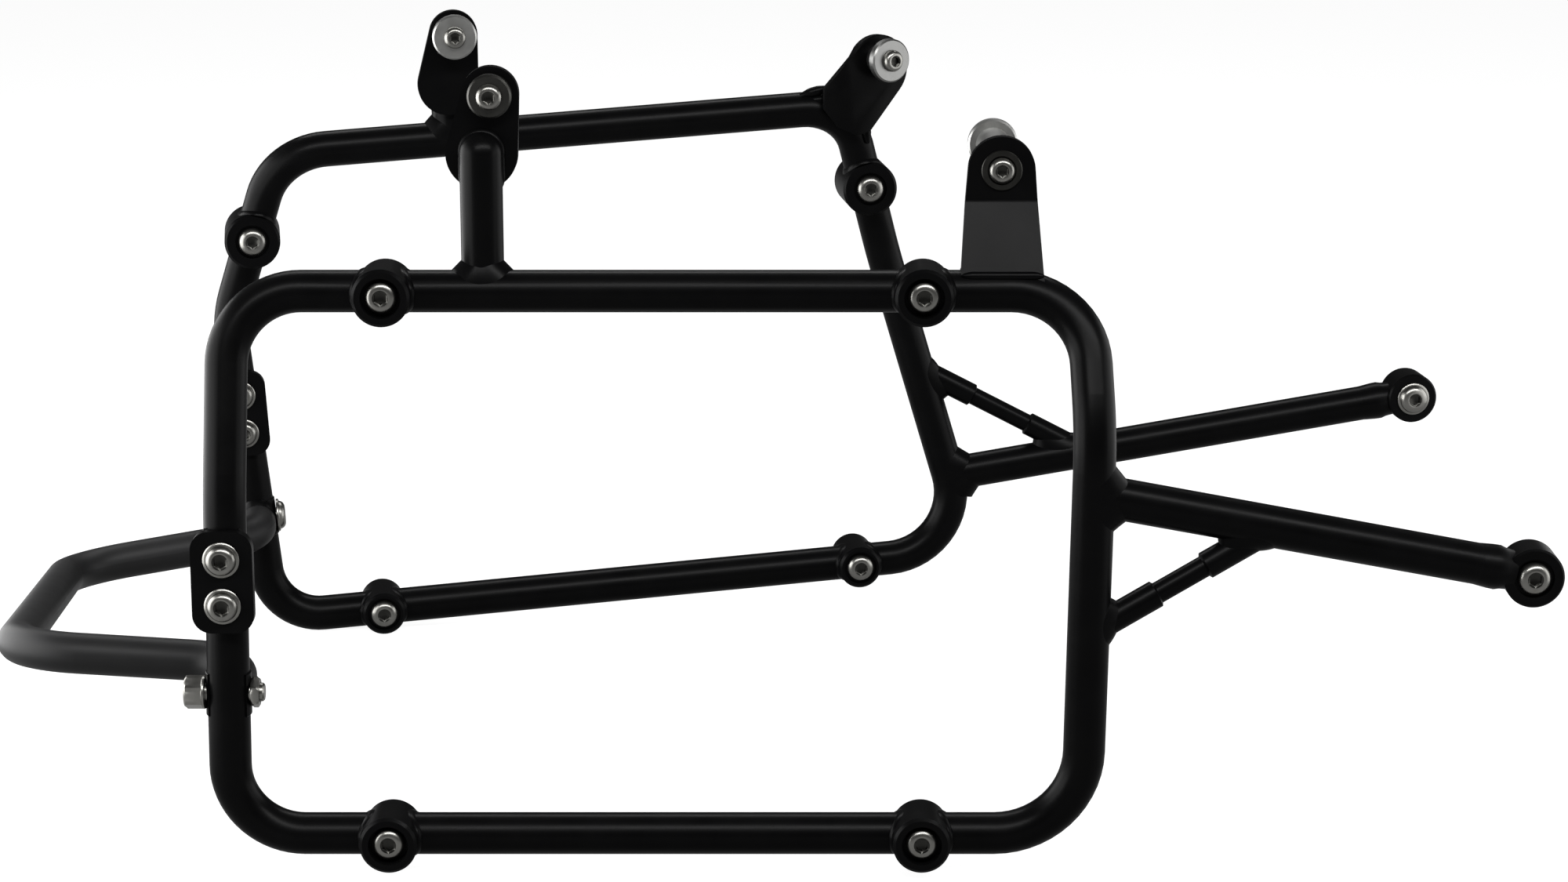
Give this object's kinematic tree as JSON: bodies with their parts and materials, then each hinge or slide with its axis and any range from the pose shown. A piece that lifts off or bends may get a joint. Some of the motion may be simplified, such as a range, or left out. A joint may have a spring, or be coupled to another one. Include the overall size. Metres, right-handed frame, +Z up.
{
  "type": "motorbike pannier frame",
  "caption": "Pair of bent-tube side hoops with round case pucks, bolt-on brackets, braced stays and a rear tie bar, in satin black.",
  "frame": {"origin": "centre of the bounding box in plan, on the floor under the lower pucks", "axes": "+X forward along the bike, +Y to the rider's left, +Z up"},
  "size_m": [0.721, 0.4416, 0.3427],
  "materials": {
    "black_coat": "satin black powder coat with a fine texture",
    "zinc_fastener": "bright zinc plate",
    "turned_spacer": "turned, satin"
  },
  "bodies": {
    "root": {"left_front_bolt": "zinc_fastener", "left_front_nut": "zinc_fastener", "left_front_plate": "black_coat", "left_front_spacer": "turned_spacer", "left_hoop": "black_coat", "left_link_bolts": "zinc_fastener", "left_link_plate": "black_coat", "left_lower_front_puck": "black_coat", "left_lower_rear_puck": "black_coat", "left_puck_nuts": "zinc_fastener", "left_puck_screws": "zinc_fastener", "left_rear_bolt": "zinc_fastener", "left_rear_nut": "zinc_fastener", "left_rear_plate": "black_coat", "left_rear_post": "black_coat", "left_rear_spacer": "turned_spacer", "left_stay": "black_coat", "left_stay_bolt": "zinc_fastener", "left_stay_brace": "black_coat", "left_stay_eye": "black_coat", "left_tie_bolt": "zinc_fastener", "left_tie_nut": "zinc_fastener", "left_tie_saddle": "black_coat", "left_upper_front_puck": "black_coat", "left_upper_rear_puck": "black_coat", "right_front_bolt": "zinc_fastener", "right_front_bracket": "black_coat", "right_front_spacer": "turned_spacer", "right_hoop": "black_coat", "right_link_bolts": "zinc_fastener", "right_link_plate": "black_coat", "right_lower_front_puck": "black_coat", "right_lower_rear_puck": "black_coat", "right_puck_nuts": "zinc_fastener", "right_puck_screws": "zinc_fastener", "right_rear_bolt": "zinc_fastener", "right_rear_plate": "black_coat", "right_rear_post": "black_coat", "right_rear_spacer": "turned_spacer", "right_stay": "black_coat", "right_stay_bolt": "zinc_fastener", "right_stay_brace": "black_coat", "right_stay_eye": "black_coat", "right_tie_bolt": "zinc_fastener", "right_tie_nut": "zinc_fastener", "right_tie_saddle": "black_coat", "right_upper_front_puck": "black_coat", "right_upper_rear_puck": "black_coat", "tie_bar": "black_coat"}
  },
  "joints": []
}
